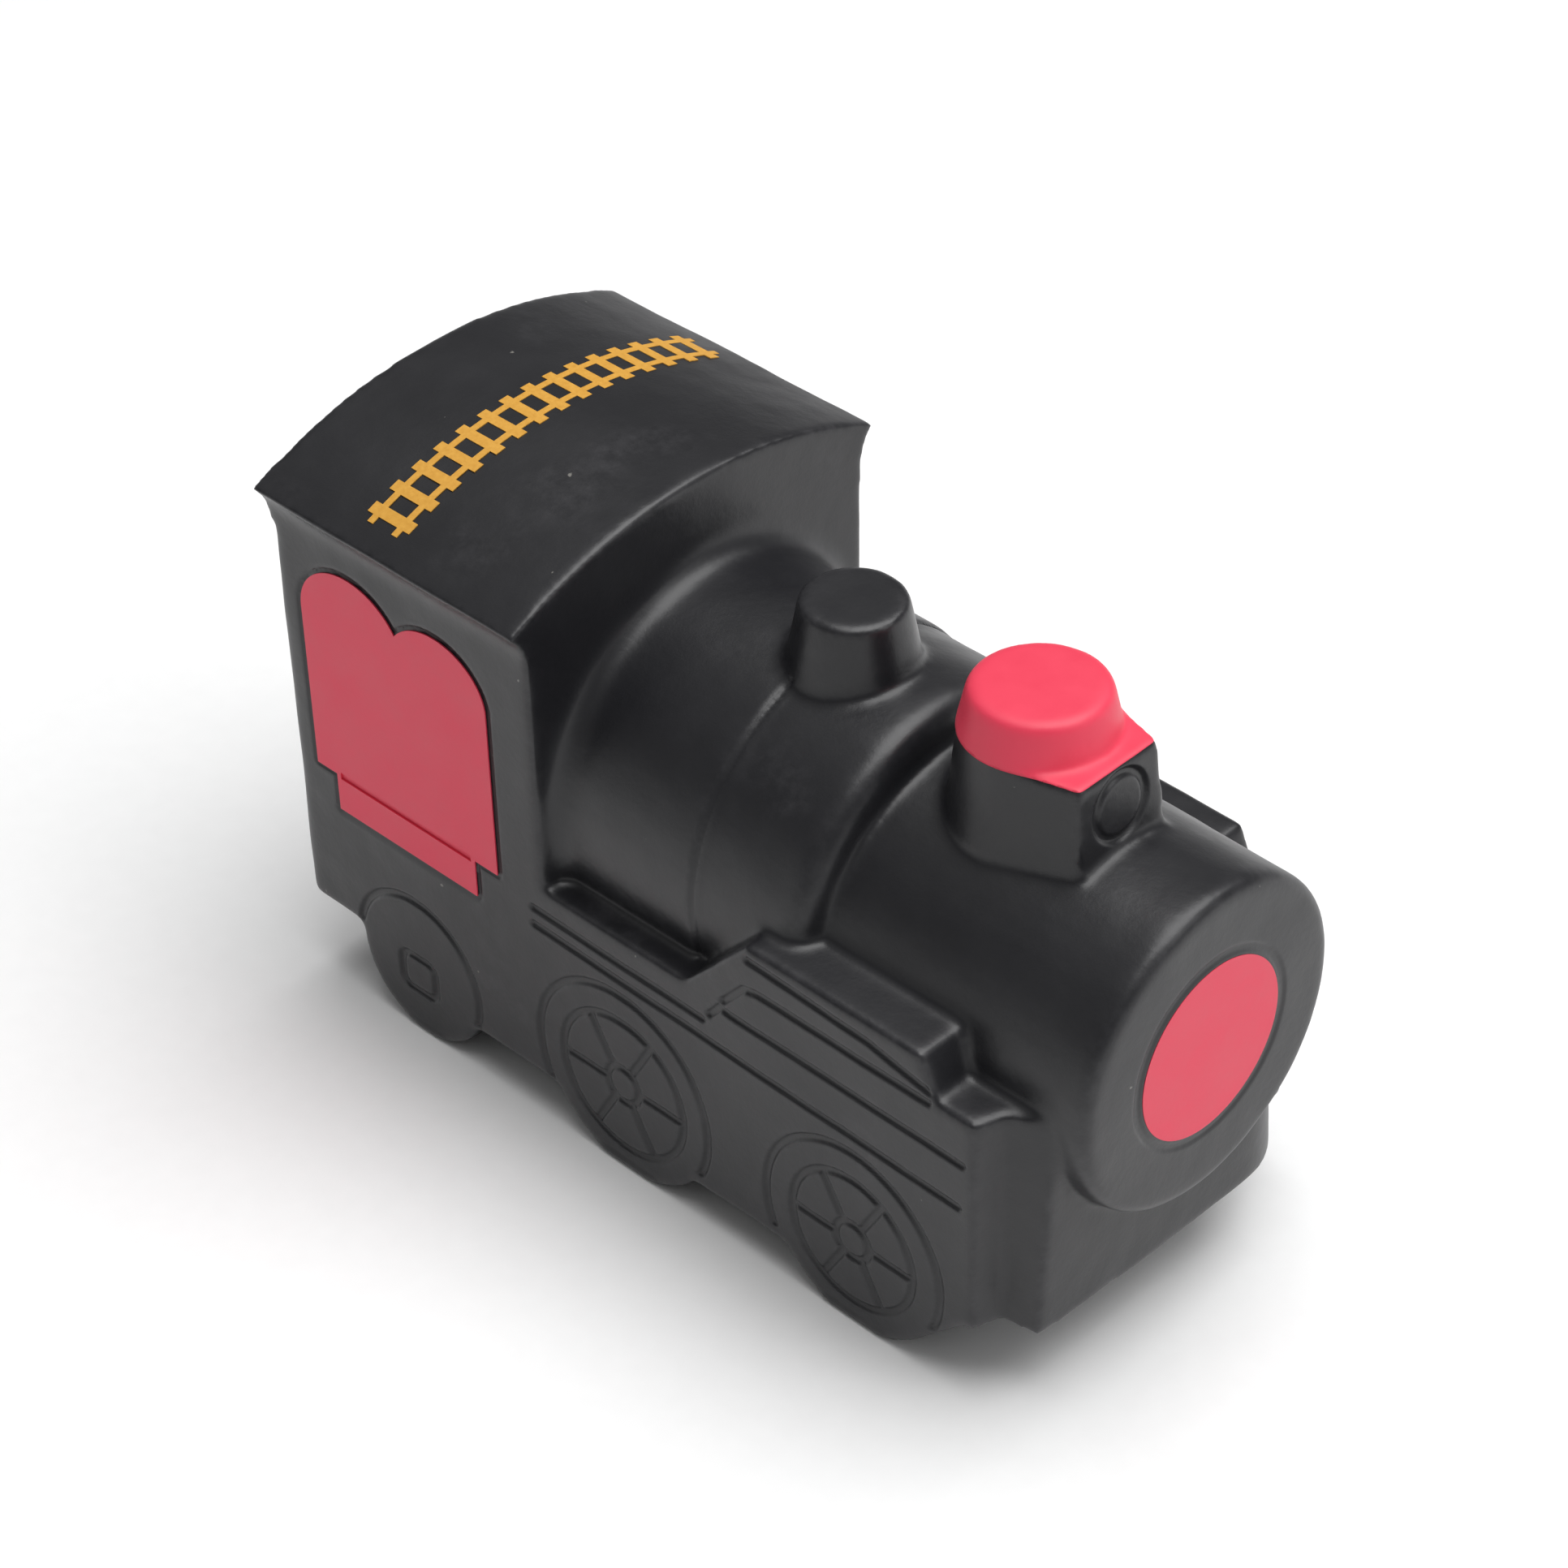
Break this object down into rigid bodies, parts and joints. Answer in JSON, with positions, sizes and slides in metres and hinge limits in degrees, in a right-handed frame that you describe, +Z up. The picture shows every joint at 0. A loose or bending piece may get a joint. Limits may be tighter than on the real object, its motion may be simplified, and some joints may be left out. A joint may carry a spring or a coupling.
{
  "type": "foam toy locomotive",
  "caption": "Soft foam steam locomotive with an arched cab roof, painted windows, a dome, a chimney with a red top and engraved wheels.",
  "frame": {"origin": "centre of the footprint, on the floor the wheels stand on", "axes": "+X towards the smokebox at the front, +Y to the locomotive's left, +Z up"},
  "size_m": [0.108, 0.0522, 0.0714],
  "materials": {
    "soft_foam": "open-cell polyurethane foam",
    "dense_foam": "closed integral skin of the same foam",
    "black_coating": "soft matt flexible coating",
    "red_paint": "satin flexible paint",
    "gold_ink": "pad-printed ink"
  },
  "bodies": {
    "root": {"foam_core": "soft_foam", "foam_skin": "dense_foam", "black_coat": "black_coating", "window_paint_right": "red_paint", "window_paint_left": "red_paint", "chimney_paint": "red_paint", "smokebox_paint": "red_paint", "roof_print": "gold_ink"}
  },
  "joints": []
}
